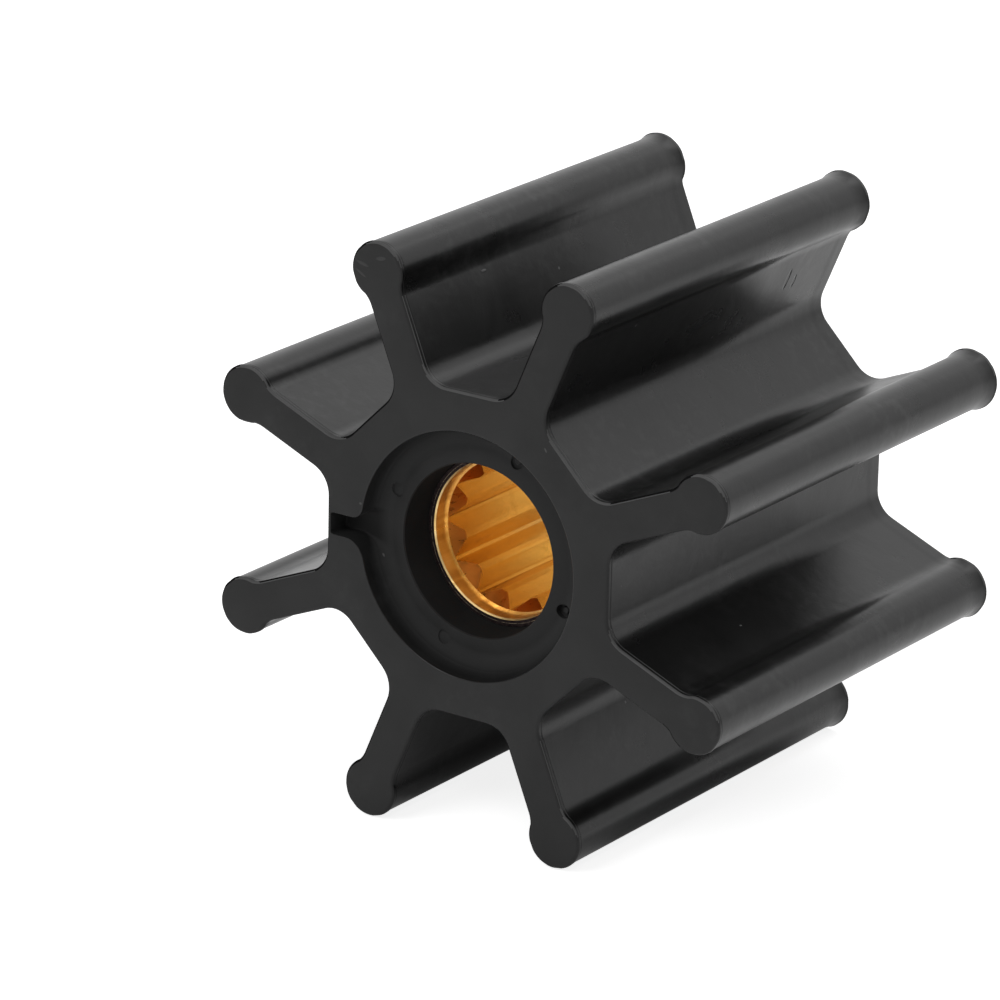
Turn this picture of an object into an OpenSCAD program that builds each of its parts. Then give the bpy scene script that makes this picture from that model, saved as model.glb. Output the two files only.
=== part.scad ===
// Flexible-vane pump impeller: a rubber vane wheel moulded round a splined brass bush.
// The bore runs along Y, the face with the slot looks along -Y, and the origin is the
// middle of the bore. The wheel lies as it comes to rest, on the beads of two vanes.

/* [Wheel] */
// Diameter over the beads of the vanes
wheel_d = 65; // [60:0.5:76]
// Length of the wheel along its bore
wheel_len = 50.3; // [30:0.5:80]
// Distance across the flats of the hub
hub_flats = 33.9; // [31:0.1:37]
// Number of vanes
vane_count = 8; // [6:1:9]

/* [Vanes] */
// Thickness of a vane between its hub and its bead
vane_t = 4.1; // [3:0.1:5]
// Diameter of the bead along the tip of a vane
bead_d = 5.9; // [5.4:0.1:7.2]
// Radius of the hollow between a vane and its bead
neck_r = 3.1; // [1.5:0.1:4]
// Radius of the hollow between a vane and the hub
root_r = 3.05; // [1.5:0.05:4]

/* [Moulding line] */
// How far the moulding line at the front stands out round a bead
front_flash_w = 0.1; // [0.05:0.05:0.4]
// How far the moulding line at the back stands out round a bead
back_flash_w = 0.3; // [0.05:0.05:0.4]
// Thickness of the moulding line along the bore
flash_t = 0.6; // [0.2:0.1:1.5]

/* [End recesses] */
// Diameter of the recess in each end
recess_d = 25.7; // [23:0.1:27]
// Depth of the recess where its floor meets the bore
recess_lip = 2.1; // [1.5:0.1:4]
// Angle at which the floor falls towards the wall
floor_slope = 18; // [5:1:25]
// Radius of the hollow between the floor and the wall
floor_r = 1.8; // [0.5:0.1:1.9]
// Width of the slot from the front recess to a flat of the hub
slot_w = 2.3; // [1.5:0.1:4]
// Thickness of the skin that closes the outer end of the slot
slot_skin = 0.4; // [0.2:0.1:1.5]
// Radius of the upper corner where the slot meets the recess
slot_upper_r = 1.3; // [0.5:0.1:2]
// Radius of the lower corner where the slot meets the recess
slot_lower_r = 2.3; // [0.5:0.1:2.5]

/* [Pin marks] */
// Diameter of the marks that the mould's support pins leave in the front recess
pin_mark_d = 1.5; // [0.8:0.1:2]
// Depth of a pin mark below the floor
pin_mark_depth = 0.6; // [0.3:0.1:2]
// Number of pin marks
pin_mark_count = 4; // [2:1:8]

/* [Bush] */
// Thickness of the bush's wall round its plain bores
bush_wall = 0.85; // [0.6:0.05:1.4]
// Depth of the bush's ends below the faces of the wheel
bush_setback = 6.3; // [4:0.1:10]
// Width of the chamfer on the bush's inner rim
rim_chamfer = 0.3; // [0.1:0.05:0.5]
// Gap between the plain bore at each end and the roots of the grooves
pilot_gap = 0.22; // [0.1:0.02:0.4]
// Length of the plain bore, with its chamfer
pilot_len = 1.9; // [1:0.1:6]

/* [Spline] */
// Diameter at the roots of the grooves
spline_root_d = 15.86; // [14.8:0.01:16.6]
// Height of a tooth
tooth_h = 1.03; // [0.7:0.01:1.3]
// Number of teeth
spline_count = 12; // [8:1:13]
// Width of the flat at the root of a groove
root_land_w = 0.35; // [0.2:0.05:0.6]
// Width of the top of a tooth
tooth_top_w = 0.7; // [0.4:0.05:1]
// Length of the conical lead on the ends of the teeth
spline_lead = 1.45; // [0.5:0.05:3]

/* [Hidden] */
$fn = 96;

// Distance by which a cut runs past the face that it opens
over = 1;
// Length by which a flank runs on inside the tooth circle, so that the two cross cleanly
flank_overrun = 0.4;

rubber = [0.17, 0.17, 0.18];
brass = [0.79, 0.57, 0.25];

vane_pitch = 360 / vane_count;
bead_x = wheel_d / 2 - bead_d / 2;
bush_len = wheel_len - 2 * bush_setback;
spline_tip_d = spline_root_d - 2 * tooth_h;
pilot_d = spline_root_d + 2 * pilot_gap;
bush_d = pilot_d + 2 * bush_wall;

// Circle of the pin marks, halfway between the bore and the wall of the recess
pin_mark_circle_d = (bush_d + recess_d) / 2;

// Vane with which the first pin mark lines up, counted round from the bottom
marked_vane = 3;
// Turn from -X to the middle of the flat that the slot runs towards
slot_turn = vane_pitch * round(270 / vane_pitch) - 270;

// Direction of a vane, with a gap and not a vane straight down
function vane_angle(i) = -90 + vane_pitch * (i + 0.5);

// Middle of the hollow between a vane and its bead, as distances along and across the vane
function neck_y() = vane_t / 2 + neck_r;
function neck_x() = bead_x - sqrt(pow(bead_d / 2 + neck_r, 2) - pow(neck_y(), 2));

// Middle of the hollow between a vane and the hub, which also touches the hub's flat
function root_y() = vane_t / 2 + root_r;
function root_x() =
    (hub_flats / 2 + root_r - root_y() * sin(vane_pitch / 2)) / cos(vane_pitch / 2);

// Middle of the hollow between the recess's floor and wall, as radius and depth
function floor_hollow() =
    let (r = recess_d / 2 - floor_r)
    [r, recess_lip + (r - bush_d / 2) * tan(floor_slope) - floor_r / cos(floor_slope)];
recess_depth = floor_hollow()[1] + floor_r;

// One half of a vane, from the axis to its bead, which is grown by the given width
module half_vane(bead_grow) {
    translate([bead_x, 0])
        circle(r = bead_d / 2 + bead_grow);
    square([neck_x(), vane_t / 2]);
    difference() {
        polygon([[neck_x(), 0], [neck_x(), neck_y()], [bead_x, 0]]);
        translate([neck_x(), neck_y()])
            circle(r = neck_r);
    }
    difference() {
        polygon([
            [0, 0],
            [root_x(), 0],
            [root_x(), root_y()],
            [
                root_x() - root_r * cos(vane_pitch / 2),
                root_y() - root_r * sin(vane_pitch / 2)
            ]
        ]);
        translate([root_x(), root_y()])
            circle(r = root_r);
    }
}

// Outline of the whole wheel, with two vanes side by side at the bottom
module wheel_outline(bead_grow = 0) {
    rotate(vane_angle(0))
        circle(r = hub_flats / 2 / cos(vane_pitch / 2), $fn = vane_count);
    for (i = [0 : vane_count - 1])
        rotate(vane_angle(i)) {
            half_vane(bead_grow);
            mirror([0, 1])
                half_vane(bead_grow);
        }
}

// Hollow of one end recess, opening upwards at height zero
module recess_hollow() {
    middle = floor_hollow();
    rotate_extrude()
        union() {
            polygon([
                [0, over],
                [recess_d / 2, over],
                [recess_d / 2, -middle[1]],
                [middle[0], -middle[1]],
                [
                    middle[0] - floor_r * sin(floor_slope),
                    -middle[1] - floor_r * cos(floor_slope)
                ],
                [bush_d / 2, -recess_lip],
                [0, -recess_lip]
            ]);
            translate([middle[0], -middle[1]])
                circle(r = floor_r);
        }
}

// Rounded opening of the slot's upper side into the recess
module slot_corner(corner_r) {
    y = slot_w / 2 + corner_r;
    x = sqrt(pow(recess_d / 2 + corner_r, 2) - pow(y, 2));
    difference() {
        polygon([[0, 0], [-x, 0], [-x, y]]);
        translate([-x, y])
            circle(r = corner_r);
    }
}

// Slot from the front recess to just short of the hub's flat, opening at height zero.
// It starts at the deepest ring of the recess and is as deep as that ring.
module slot_hollow() {
    reach = hub_flats / 2 - slot_skin;
    translate([0, 0, -recess_depth])
        rotate(slot_turn)
            linear_extrude(recess_depth + over)
                difference() {
                    union() {
                        translate([-reach, -slot_w / 2])
                            square([reach, slot_w]);
                        slot_corner(slot_upper_r);
                        mirror([0, 1])
                            slot_corner(slot_lower_r);
                    }
                    circle(r = floor_hollow()[0]);
                }
}

// Blind marks in the floor of the front recess, the first in line with a vane
module pin_marks() {
    floor_at_marks = recess_lip
        + (pin_mark_circle_d / 2 - bush_d / 2) * tan(floor_slope);
    for (i = [0 : pin_mark_count - 1])
        rotate(vane_angle(marked_vane) + 360 / pin_mark_count * i)
            translate([pin_mark_circle_d / 2, 0, -floor_at_marks - pin_mark_depth])
                cylinder(d = pin_mark_d, h = pin_mark_depth + over);
}

module rubber_vane_wheel() {
    color(rubber)
        rotate([90, 0, 0])
            difference() {
                union() {
                    linear_extrude(wheel_len - flash_t, center = true)
                        wheel_outline();
                    translate([0, 0, wheel_len / 2 - flash_t])
                        linear_extrude(flash_t)
                            wheel_outline(front_flash_w);
                    translate([0, 0, -wheel_len / 2])
                        linear_extrude(flash_t)
                            wheel_outline(back_flash_w);
                }
                cylinder(d = bush_d, h = wheel_len + 2 * over, center = true);
                for (side = [0, 1])
                    mirror([0, 0, side])
                        translate([0, 0, wheel_len / 2])
                            recess_hollow();
                translate([0, 0, wheel_len / 2]) {
                    slot_hollow();
                    pin_marks();
                }
            }
}

// Groove between two teeth, as a wedge from the axis with straight flanks
module groove_outline() {
    root_half = asin(root_land_w / spline_root_d);
    tip_half = 180 / spline_count - asin(tooth_top_w / spline_tip_d);
    root_at = spline_root_d / 2 * [cos(root_half), sin(root_half)];
    tip_at = spline_tip_d / 2 * [cos(tip_half), sin(tip_half)];
    inner = tip_at - flank_overrun * (root_at - tip_at) / norm(root_at - tip_at);
    polygon([
        [0, 0],
        [inner[0], -inner[1]],
        [root_at[0], -root_at[1]],
        root_at,
        inner
    ]);
}

// Open section of the splined bore
module spline_outline() {
    circle(d = spline_tip_d);
    for (i = [0 : spline_count - 1])
        rotate(360 / spline_count * i)
            groove_outline();
}

// Chamfered rim, plain bore and conical lead at one end, opening upwards at height zero
module bush_mouth() {
    translate([0, 0, -rim_chamfer])
        cylinder(
            h = rim_chamfer + over,
            d1 = pilot_d,
            d2 = pilot_d + 2 * (rim_chamfer + over)
        );
    translate([0, 0, -pilot_len])
        cylinder(d = pilot_d, h = pilot_len + over);
    translate([0, 0, -pilot_len - spline_lead])
        cylinder(h = spline_lead, d1 = spline_tip_d, d2 = spline_root_d);
}

module brass_spline_bush() {
    color(brass)
        rotate([90, 0, 0])
            difference() {
                cylinder(d = bush_d, h = bush_len, center = true);
                linear_extrude(bush_len + 2 * over, center = true)
                    spline_outline();
                for (side = [0, 1])
                    mirror([0, 0, side])
                        translate([0, 0, bush_len / 2])
                            bush_mouth();
            }
}

rubber_vane_wheel();
brass_spline_bush();
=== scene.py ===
"""Looks of a flexible-vane pump impeller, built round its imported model.

A rubber vane wheel with a splined brass bush lies on the beads of two vanes. The bore runs
along Y, the end with the slot looks along -Y, and every size is in metres.
"""

import logging
import math
from collections.abc import Callable, Iterable
from dataclasses import dataclass
from enum import Enum

import bmesh
import bpy
from mathutils import Matrix, Vector, noise


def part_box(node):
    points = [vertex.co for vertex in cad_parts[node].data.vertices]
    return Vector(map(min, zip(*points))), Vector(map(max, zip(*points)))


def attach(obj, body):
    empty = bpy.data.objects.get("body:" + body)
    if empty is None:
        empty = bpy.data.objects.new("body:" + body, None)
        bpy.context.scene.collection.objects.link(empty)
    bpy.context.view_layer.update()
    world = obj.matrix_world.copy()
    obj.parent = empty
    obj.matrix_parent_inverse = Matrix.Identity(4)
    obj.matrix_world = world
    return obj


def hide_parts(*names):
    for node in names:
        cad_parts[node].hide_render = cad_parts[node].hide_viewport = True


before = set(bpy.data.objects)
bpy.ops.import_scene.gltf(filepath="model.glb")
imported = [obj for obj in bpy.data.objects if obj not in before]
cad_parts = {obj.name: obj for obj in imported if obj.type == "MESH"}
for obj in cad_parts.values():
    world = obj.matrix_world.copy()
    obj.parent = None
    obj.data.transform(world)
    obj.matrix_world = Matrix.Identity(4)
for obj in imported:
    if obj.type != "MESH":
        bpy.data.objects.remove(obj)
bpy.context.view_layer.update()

LOG = logging.getLogger("impeller")
MM = 0.001
WELD = 0.001 * MM
BORE_AXIS = Vector((0, -1, 0))
"""Axis of the bore towards the viewer's end, so that a turn about it goes from +X to +Z."""
WHEEL_NODE = "rubber_vane_wheel"
BUSH_NODE = "brass_spline_bush"

BMesh = bmesh.types.BMesh
Edges = list[bmesh.types.BMEdge]
Socket = bpy.types.NodeSocket
Place = tuple[float, float, float]
Pair = tuple[float, float]
Section = Callable[[float], Pair]
"""Gives a ring's place along the bore and its outset, from what a vertex of it has noted."""


class End(Enum):
    """One of the two ends of the wheel, with the sign of its Y."""

    FRONT = -1
    BACK = 1


class Region(Enum):
    """Parts of the wheel's surface with a finish of their own, in the order of the slots."""

    SIDE = 0
    FACE = 1
    RECESS = 2
    BORE = 3
    # The rounded front edge in a painted shade and in a painted highlight.
    SHADE_PAINTED_EDGE = 4
    HIGHLIGHT_PAINTED_EDGE = 5


class Cut(Enum):
    """Cut faces of the bush with a finish of their own, in the order of the slots."""

    BORE = 0
    END = 1
    # Its darker, redder colour is painted shade on the lead cones.
    LEAD = 2
    PILOT = 3
    RIM = 4


class Chain:
    """A chain of edges, laid by moving or turning its last vertex."""

    def __init__(self, mesh: BMesh, start: Vector) -> None:
        """Starts the chain with its first vertex."""
        self.mesh = mesh
        self.last = mesh.verts.new(start)

    def line_to(self, point: Vector) -> None:
        """Adds one straight edge.

        Args:
            point: Where it ends.
        """
        step = bmesh.ops.extrude_vert_indiv(self.mesh, verts=[self.last])
        self.last = step["verts"][0]
        self.last.co = point

    def arc(self, centre: Vector, degrees: float, steps: int, axis: Vector = BORE_AXIS) -> None:
        """Adds an arc that starts at the chain's end.

        Args:
            centre: Middle of the arc.
            degrees: How far it turns about the axis.
            steps: Number of edges.
            axis: Axis of the turn.
        """
        turn = bmesh.ops.spin(
            self.mesh, geom=[self.last], cent=centre, axis=axis, dvec=(0, 0, 0),
            angle=math.radians(degrees), steps=steps, use_duplicate=False,
        )
        self.last = next(g for g in turn["geom_last"] if isinstance(g, bmesh.types.BMVert))


class RingWall:
    """A wall of rings that runs along the bore from a closed outline."""

    def __init__(self, mesh: BMesh, edges: Edges, note: Callable[[Vector], float]) -> None:
        """Notes each vertex's place, the way outwards there and one more number.

        Args:
            mesh: The mesh that holds the outline.
            edges: The closed outline, in the plane y = 0 and running round the bore.
            note: Gives the number that a section gets for a vertex, from its place.
        """
        self.mesh = mesh
        self.edges = edges
        vectors, numbers = mesh.verts.layers.float_vector, mesh.verts.layers.float
        self.base = vectors.get("base") or vectors.new("base")
        self.outward = vectors.get("outward") or vectors.new("outward")
        self.note = numbers.get("note") or numbers.new("note")
        order = self._walk()
        for vert, before, after in zip(order, order[-1:] + order[:-1], order[1:] + order[:1]):
            vert[self.base] = Vector((vert.co.x, 0, vert.co.z))
            vert[self.outward] = (after.co - before.co).normalized().cross(BORE_AXIS)
            vert[self.note] = note(vert.co)
        if order[0][self.outward].dot(order[0].co) < 0:
            for vert in order:
                vert[self.outward] = -vert[self.outward]

    def _walk(self) -> list[bmesh.types.BMVert]:
        """Goes once round the outline, from the place farthest from the bore.

        Returns:
            The vertices in order.
        """
        members = set(self.edges)
        order = [max((v for e in self.edges for v in e.verts), key=lambda v: v.co.length)]
        edge = next(e for e in order[0].link_edges if e in members)
        while (following := edge.other_vert(order[-1])) is not order[0]:
            order.append(following)
            edge = next(e for e in following.link_edges if e in members and e is not edge)
        return order

    def place(self, section: Section) -> None:
        """Moves the current ring.

        Args:
            section: Says where each of its vertices goes.
        """
        for vert in {v for e in self.edges for v in e.verts}:
            y, outset = section(vert[self.note])
            vert.co = vert[self.base] + vert[self.outward] * outset
            vert.co.y = y

    def grow(self, section: Section) -> None:
        """Adds a ring joined to the last one.

        Args:
            section: Says where each of its vertices goes.
        """
        made = bmesh.ops.extrude_edge_only(self.mesh, edges=self.edges)["geom"]
        self.edges = [g for g in made if isinstance(g, bmesh.types.BMEdge) and g.is_boundary]
        self.place(section)

    @staticmethod
    def clear_notes(mesh: BMesh) -> None:
        """Takes the noted numbers off.

        Args:
            mesh: A mesh whose walls are finished.
        """
        layers = mesh.verts.layers
        layers.float.remove(layers.float["note"])
        for name in ("base", "outward"):
            layers.float_vector.remove(layers.float_vector[name])


def quarter_turns(steps: int) -> list[Pair]:
    """Sine and one minus cosine along a quarter turn, without its start.

    Args:
        steps: Number of stretches.

    Returns:
        The pairs, up to (1, 1).
    """
    turns = [math.pi / 2 * i / steps for i in range(1, steps + 1)]
    return [(math.sin(t), 1 - math.cos(t)) for t in turns]


def smooth_share(value: float, low: float, high: float) -> float:
    """Share from 0 at low to 1 at high, with a soft start and end."""
    share = min(max((value - low) / (high - low), 0.0), 1.0)
    return share * share * (3 - 2 * share)


def grey(tone: float) -> tuple[float, ...]:
    """Opaque grey of one tone."""
    return (tone, tone, tone, 1.0)


def turned(degrees: float) -> Matrix:
    """Turn about the axis of the bore."""
    return Matrix.Rotation(math.radians(degrees), 3, BORE_AXIS)


def spin_round(mesh: BMesh, geom: list, angle: float, steps: int, copies: bool = False) -> None:
    """Spins geometry about the axis of the bore.

    Args:
        mesh: The mesh that holds it.
        geom: Its vertices, edges and faces.
        angle: How far it turns, in radians.
        steps: Number of stretches or of copies.
        copies: Whether it is copied and not swept.
    """
    bmesh.ops.spin(
        mesh, geom=geom, cent=(0, 0, 0), axis=BORE_AXIS, dvec=(0, 0, 0), angle=angle,
        steps=steps, use_merge=not copies, use_duplicate=copies,
    )


def new_object(name: str, data: bpy.types.ID) -> bpy.types.Object:
    """Puts data into the scene.

    Args:
        name: The object's name.
        data: Its mesh, light or camera.

    Returns:
        The new object.
    """
    made = bpy.data.objects.new(name, data)
    bpy.context.scene.collection.objects.link(made)
    return made


def fresh_piece(name: str, mesh: BMesh) -> bpy.types.Object:
    """Turns a finished bmesh into an object at the origin, with its faces outwards.

    Args:
        name: The object's name.
        mesh: The bmesh, which is freed.

    Returns:
        The new object.
    """
    bmesh.ops.recalc_face_normals(mesh, faces=mesh.faces)
    data = bpy.data.meshes.new(name)
    mesh.to_mesh(data)
    mesh.free()
    return new_object(name, data)


def cut_away(piece: bpy.types.Object, tool: BMesh) -> None:
    """Takes a closed tool's volume from a piece and settles the piece's modifiers.

    Args:
        piece: The piece that is cut.
        tool: The tool, which is used up.
    """
    cutter = fresh_piece("cutter", tool)
    cut = piece.modifiers.new("cut", "BOOLEAN")
    cut.object = cutter
    cut.operation = "DIFFERENCE"
    cut.solver = "MANIFOLD"
    settle_modifiers(piece)
    bpy.data.objects.remove(cutter)


def settle_modifiers(piece: bpy.types.Object) -> None:
    """Makes modifiers part of the mesh.

    Args:
        piece: The piece that has them.
    """
    bpy.context.view_layer.update()
    graph = bpy.context.evaluated_depsgraph_get()
    data = bpy.data.meshes.new_from_object(piece.evaluated_get(graph))
    piece.modifiers.clear()
    piece.data = data


def shade_smooth(piece: bpy.types.Object, below: float) -> None:
    """Shades a piece smooth, except over edges of more than so many degrees."""
    piece.data.shade_smooth()
    piece.data.set_sharp_from_angle(angle=math.radians(below))


def dress(piece: bpy.types.Object, finishes: dict[Enum, object],
          sort: Callable[[bpy.types.MeshPolygon], Enum]) -> None:
    """Gives each face of a piece its finish.

    Args:
        piece: The piece.
        finishes: The finish of each region, in the order of the slots.
        sort: Gives a face's region.
    """
    data = piece.data
    data.materials.clear()
    for finish in finishes.values():
        data.materials.append(finish.material())
    for face in data.polygons:
        face.material_index = sort(face).value


class NodeBench:
    """A material or world under work, with short calls that add and join its nodes."""

    def __init__(self, owner: bpy.types.Material | bpy.types.World,
                 coordinates: str = "Object") -> None:
        """Starts the work.

        Args:
            owner: The new material or world.
            coordinates: What its patterns are drawn from.
        """
        owner.use_nodes = True
        self.owner = owner
        self.tree = owner.node_tree
        self.place = self.tree.nodes.new("ShaderNodeTexCoord").outputs[coordinates]

    @property
    def shader(self) -> bpy.types.Node:
        """The material's main shader."""
        return self.tree.nodes["Principled BSDF"]

    def show(self, shader: bpy.types.Node, output: str) -> None:
        """Joins a shader to the output node of that name."""
        self.tree.links.new(shader.outputs[0], self.tree.nodes[output].inputs["Surface"])

    def fill(self, socket: Socket, value: object) -> None:
        """Gives an input what it needs.

        Args:
            socket: The input.
            value: A socket to join or a value to put in.
        """
        if isinstance(value, Socket):
            self.tree.links.new(value, socket)
        else:
            socket.default_value = value

    def add(self, kind: str, values: dict[str | int, object],
            **settings: object) -> bpy.types.Node:
        """Adds a node, sets it up and joins or fills its sockets.

        Args:
            kind: The node's type.
            values: A socket to join or a value to put in, by the name or number of the input.
            settings: The node's own settings.

        Returns:
            The node.
        """
        node = self.tree.nodes.new(kind)
        for name, value in settings.items():
            setattr(node, name, value)
        for name, value in values.items():
            self.fill(node.inputs[name], value)
        return node

    def noise(self, scale: float, detail: float, stretch: Place = (1, 1, 1),
              distortion: float = 0.0) -> Socket:
        """Adds fractal noise with values round a half.

        Args:
            scale: Number of blots in a metre.
            detail: How many octaves it has.
            stretch: Factors on the coordinates.
            distortion: How far the blots are pulled about.

        Returns:
            The noise's output.
        """
        where = self.add("ShaderNodeMapping", {"Vector": self.place, "Scale": stretch})
        return self.add("ShaderNodeTexNoise", {
            "Vector": where.outputs["Vector"], "Scale": scale, "Detail": detail,
            "Distortion": distortion,
        }).outputs["Fac"]

    def spread(self, value: Socket, source: Pair, target: Pair) -> Socket:
        """Maps one range of values onto another and holds the ends."""
        return self.add("ShaderNodeMapRange", {
            "Value": value, "From Min": source[0], "From Max": source[1],
            "To Min": target[0], "To Max": target[1],
        }).outputs["Result"]

    def reckon(self, operation: str, first: object, second: object) -> Socket:
        """Joins two values by a sum, a product or another operation of two numbers."""
        return self.add("ShaderNodeMath", {0: first, 1: second},
                        operation=operation).outputs["Value"]

    def blend(self, share: object, first: object, second: object) -> Socket:
        """Mixes two colours.

        Args:
            share: Share of the second one.
            first: Colour where the share is 0.
            second: Colour where it is 1.

        Returns:
            The mixed colour.
        """
        node = self.add("ShaderNodeMix", {}, data_type="RGBA")
        for name, value in (("Factor", share), ("A", first), ("B", second)):
            self.fill(next(s for s in node.inputs if s.name == name and s.enabled), value)
        return next(s for s in node.outputs if s.enabled)

    def vector(self, operation: str, first: Socket, second: object) -> Socket:
        """Joins two vectors by a difference, a product or another operation."""
        return self.add("ShaderNodeVectorMath", {0: first, 1: second},
                        operation=operation).outputs["Vector"]

    def length(self, vector: Socket) -> Socket:
        """Length of a vector."""
        return self.add("ShaderNodeVectorMath", {0: vector},
                        operation="LENGTH").outputs["Value"]

    def reach(self, axes: Place) -> Socket:
        """Distance from the origin, of which only the axes with a 1 count."""
        return self.length(self.vector("MULTIPLY", self.place, axes))

    def band(self, value: Socket, middle: float, width: float) -> Socket:
        """Soft band that is 1 where the value is the middle and 0 half a width away."""
        off = self.reckon("ABSOLUTE", self.reckon("SUBTRACT", value, middle), 0.0)
        return self.spread(off, (0.0, width / 2), (1.0, 0.0))

    def feed(self, **sockets: object) -> None:
        """Joins values to the main shader.

        Args:
            sockets: The value for each input, named with _ for a space.
        """
        for name, value in sockets.items():
            self.fill(self.shader.inputs[name.replace("_", " ")], value)

    def bump(self, height: Socket, strength: float, distance: float,
             normal: Socket | None = None) -> Socket:
        """Adds relief.

        Args:
            height: The relief's pattern.
            strength: Its share, up to 1.
            distance: Its height in metres.
            normal: Relief below it.

        Returns:
            The normal for the shader.
        """
        values = {"Height": height, "Strength": strength, "Distance": distance}
        if normal is not None:
            values["Normal"] = normal
        return self.add("ShaderNodeBump", values).outputs["Normal"]


@dataclass(frozen=True)
class Mark:
    """A speck or scratch, as a stretched ball in which the surface is lighter or darker."""

    at: Place
    """Its middle, in millimetres as the reach and the height are."""
    reach: Place
    lean: float = 0.0
    """Turn about the bore, in degrees."""
    tone: float = 0.2
    height: float = 0.02
    """How far it stands out, or below zero for a dent."""

    def mask(self, bench: NodeBench) -> Socket:
        """Adds the nodes that are 1 inside the mark and 0 outside.

        Args:
            bench: The material under work.

        Returns:
            The mask.
        """
        off = bench.vector("SUBTRACT", bench.place, Vector(self.at) * MM)
        leant = bench.add("ShaderNodeVectorRotate", {
            "Vector": off, "Angle": math.radians(self.lean),
        }, rotation_type="Y_AXIS").outputs["Vector"]
        size = bench.length(bench.vector("DIVIDE", leant, Vector(self.reach) * MM))
        soft_rim = (0.6, 1.0)
        return bench.spread(size, soft_rim, (1.0, 0.0))


@dataclass(frozen=True)
class RubberFinish:
    """Black moulded rubber with clouds, a fine grain, dust and single marks."""

    name: str
    tone: float
    roughness: float
    specular: float
    grain: float = 0.5
    cloud: float = 0.2
    """Share by which the clouds change the tone."""
    dust: float = 0.0
    """Share of the places for a speck that have one."""
    marks: tuple[Mark, ...] = ()
    cloud_scale: float = 160.0
    cloud_height: float = 0.15 * MM
    grain_scale: float = 2600.0
    grain_height: float = 0.02 * MM
    dust_scale: float = 420.0
    dust_tone: float = 0.12
    scuff: float = 0.0
    """How much lighter the scuffed places are."""
    patch_scale: float = 70.0
    patchy: Pair = (0.48, 0.66)
    """Noise values between which a patch of smears sets in."""
    smear_scale: float = 700.0
    smeared: Pair = (0.48, 0.74)
    """Noise values between which a smear sets in."""
    speck: Pair = (0.05, 0.09)
    """Distances from a speck's middle between which it ends, in units of the cells."""
    streak_stretch: Place = (1, 0.12, 1)
    streak_share: float = 0.4
    """Share of the clouds with which the streaks are added to them."""
    clouding: Pair = (0.5, 0.9)
    """Values that clouds and streaks together run between."""
    gloss_swing: float = 0.12
    """Share by which the clouds change the roughness."""
    painted_shade_span: Pair = (11.3 * MM, 12.6 * MM)
    # Distances from the axis between which a painted shade darkens the rubber to its share of the
    # tone, towards the recess's wall.
    """Distances from the axis between which the rubber takes its share of the tone."""
    painted_shade_share: float = 1.0

    def material(self) -> bpy.types.Material:
        """Builds the node tree of the rubber.

        Returns:
            The material.
        """
        bench = NodeBench(bpy.data.materials.new(self.name))
        clouds = bench.noise(self.cloud_scale, 6, distortion=0.4)
        streaks = bench.noise(self.cloud_scale * 2, 4, self.streak_stretch)
        mixed = bench.reckon("ADD", clouds,
                             bench.reckon("MULTIPLY", streaks, self.streak_share))
        tint = bench.spread(mixed, self.clouding, (
            self.tone * (1 - self.cloud), self.tone * (1 + self.cloud),
        ))
        # Painted shade: the tone falls outwards between the two distances from the axis.
        if self.painted_shade_share < 1:
            tint = bench.reckon("MULTIPLY", tint, bench.spread(
                bench.reach((1, 0, 1)), self.painted_shade_span, (1.0, self.painted_shade_share)))
        colour = bench.add("ShaderNodeCombineColor", {"Red": tint, "Green": tint, "Blue": tint})
        skin = colour.outputs["Color"]
        skin = bench.blend(self._scuffs(bench), skin, grey(self.tone + self.scuff))
        skin = bench.blend(self._specks(bench), skin, grey(self.dust_tone))
        relief = bench.bump(clouds, 0.5, self.cloud_height)
        for mark in self.marks:
            mask = mark.mask(bench)
            skin = bench.blend(mask, skin, grey(mark.tone))
            relief = bench.bump(mask, 1.0, mark.height * MM, relief)
        rough = bench.spread(mixed, self.clouding, (
            self.roughness * (1 - self.gloss_swing), self.roughness * (1 + self.gloss_swing),
        ))
        grain = bench.noise(self.grain_scale, 4)
        bench.feed(
            Base_Color=skin, Roughness=rough, Specular_IOR_Level=self.specular,
            Normal=bench.bump(grain, self.grain, self.grain_height, relief),
        )
        return bench.owner

    def _scuffs(self, bench: NodeBench) -> Socket:
        """Adds faint smears that come in patches.

        Args:
            bench: The material under work.

        Returns:
            The mask of the smears.
        """
        patches = bench.spread(bench.noise(self.patch_scale, 2), self.patchy, (0.0, 1.0))
        smears = bench.spread(bench.noise(self.smear_scale, 4), self.smeared, (0.0, 1.0))
        return bench.reckon("MULTIPLY", patches, smears)

    def _specks(self, bench: NodeBench) -> Socket:
        """Adds small scattered specks of dust.

        Args:
            bench: The material under work.

        Returns:
            The mask of the specks.
        """
        cells = bench.add("ShaderNodeTexVoronoi", {
            "Vector": bench.place, "Scale": self.dust_scale,
        })
        near = bench.spread(cells.outputs["Distance"], self.speck, (1.0, 0.0))
        pick = bench.add("ShaderNodeSeparateColor", {"Color": cells.outputs["Color"]})
        chosen = bench.reckon("LESS_THAN", pick.outputs["Red"], self.dust)
        return bench.reckon("MULTIPLY", near, chosen)


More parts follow.
